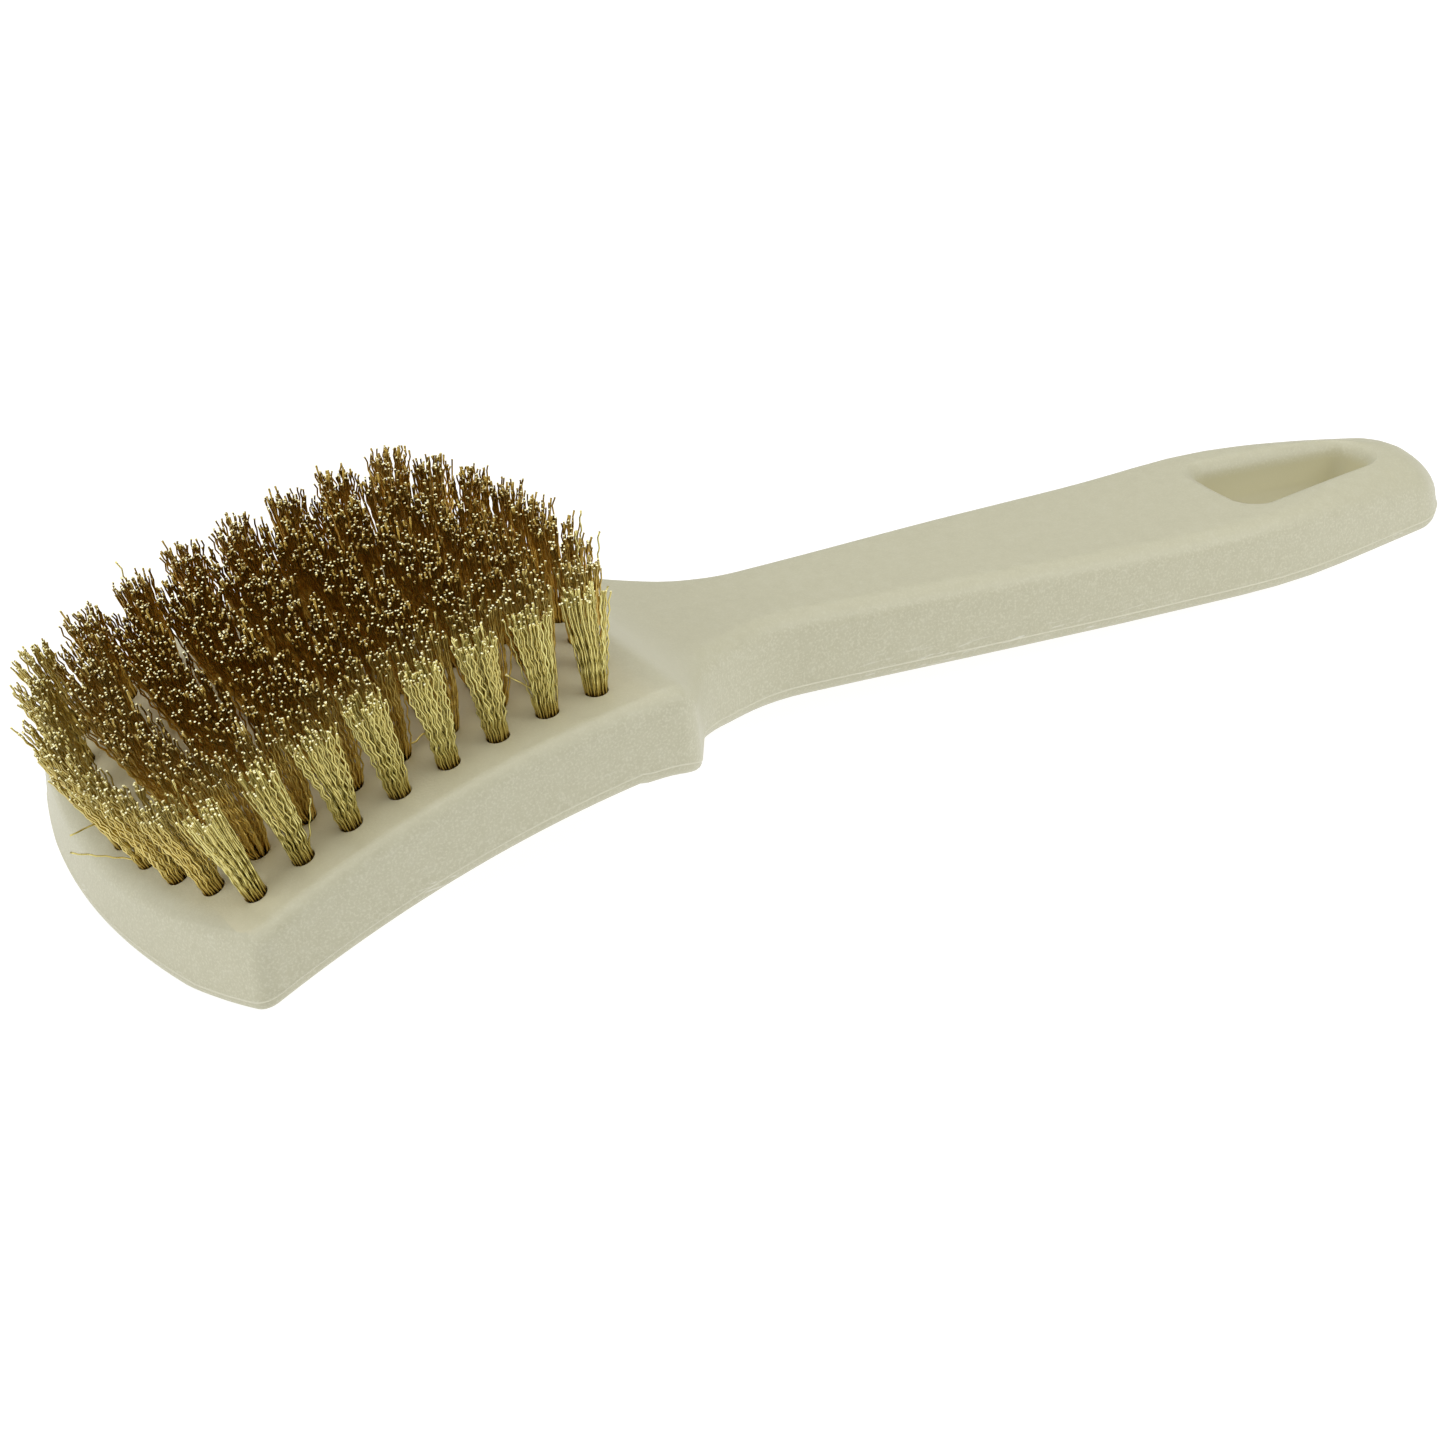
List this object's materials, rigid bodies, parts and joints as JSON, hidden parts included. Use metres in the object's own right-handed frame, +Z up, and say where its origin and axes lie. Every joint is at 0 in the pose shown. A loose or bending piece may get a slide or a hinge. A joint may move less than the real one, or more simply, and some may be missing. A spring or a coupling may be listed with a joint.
{
  "type": "club groove brush",
  "caption": "Hand brush with brass wire tufts on an arched moulded block and a slim handle with a hanging slot, for cleaning golf club grooves.",
  "frame": {"origin": "on the surface that the brush lies on, under the middle of its box", "axes": "+X from the nose of the block to the end of the handle, +Y across the rows of tufts, +Z up, away from the back of the brush"},
  "size_m": [0.2237, 0.067, 0.0419],
  "materials": {
    "ivory_plastic": "matte, finely speckled moulding",
    "brass_wire": "drawn and crimped wire with bright cut ends"
  },
  "bodies": {
    "root": {"block_handle": "ivory_plastic", "tuft_A1": "brass_wire", "tuft_A2": "brass_wire", "tuft_A3": "brass_wire", "tuft_A4": "brass_wire", "tuft_A5": "brass_wire", "tuft_A6": "brass_wire", "tuft_A7": "brass_wire", "tuft_A8": "brass_wire", "tuft_B1": "brass_wire", "tuft_B2_3": "brass_wire", "tuft_B4_5": "brass_wire", "tuft_B6": "brass_wire", "tuft_B7_8": "brass_wire", "tuft_B9": "brass_wire", "tuft_C1": "brass_wire", "tuft_C2_3": "brass_wire", "tuft_C4_5": "brass_wire", "tuft_C6": "brass_wire", "tuft_C7_8": "brass_wire", "tuft_C9": "brass_wire", "tuft_D1": "brass_wire", "tuft_D2_3": "brass_wire", "tuft_D4_5": "brass_wire", "tuft_D6": "brass_wire", "tuft_D7_8": "brass_wire", "tuft_D9": "brass_wire", "tuft_E1": "brass_wire", "tuft_E2_3": "brass_wire", "tuft_E4_5": "brass_wire", "tuft_E6": "brass_wire", "tuft_E7_8": "brass_wire", "tuft_E9": "brass_wire", "tuft_F1": "brass_wire", "tuft_F2_3": "brass_wire", "tuft_F4_5": "brass_wire", "tuft_F6": "brass_wire", "tuft_F7_8": "brass_wire", "tuft_F9": "brass_wire", "tuft_G1": "brass_wire", "tuft_G2_3": "brass_wire", "tuft_G4_5": "brass_wire", "tuft_G6": "brass_wire", "tuft_G7_8": "brass_wire", "tuft_G9": "brass_wire", "tuft_H1": "brass_wire", "tuft_H2_3": "brass_wire", "tuft_H4_5": "brass_wire", "tuft_H6": "brass_wire", "tuft_H7_8": "brass_wire", "tuft_H9": "brass_wire", "tuft_I1": "brass_wire", "tuft_I2": "brass_wire", "tuft_I3": "brass_wire", "tuft_I4": "brass_wire", "tuft_I5": "brass_wire", "tuft_I6": "brass_wire", "tuft_I7": "brass_wire", "tuft_I8": "brass_wire"}
  },
  "joints": []
}
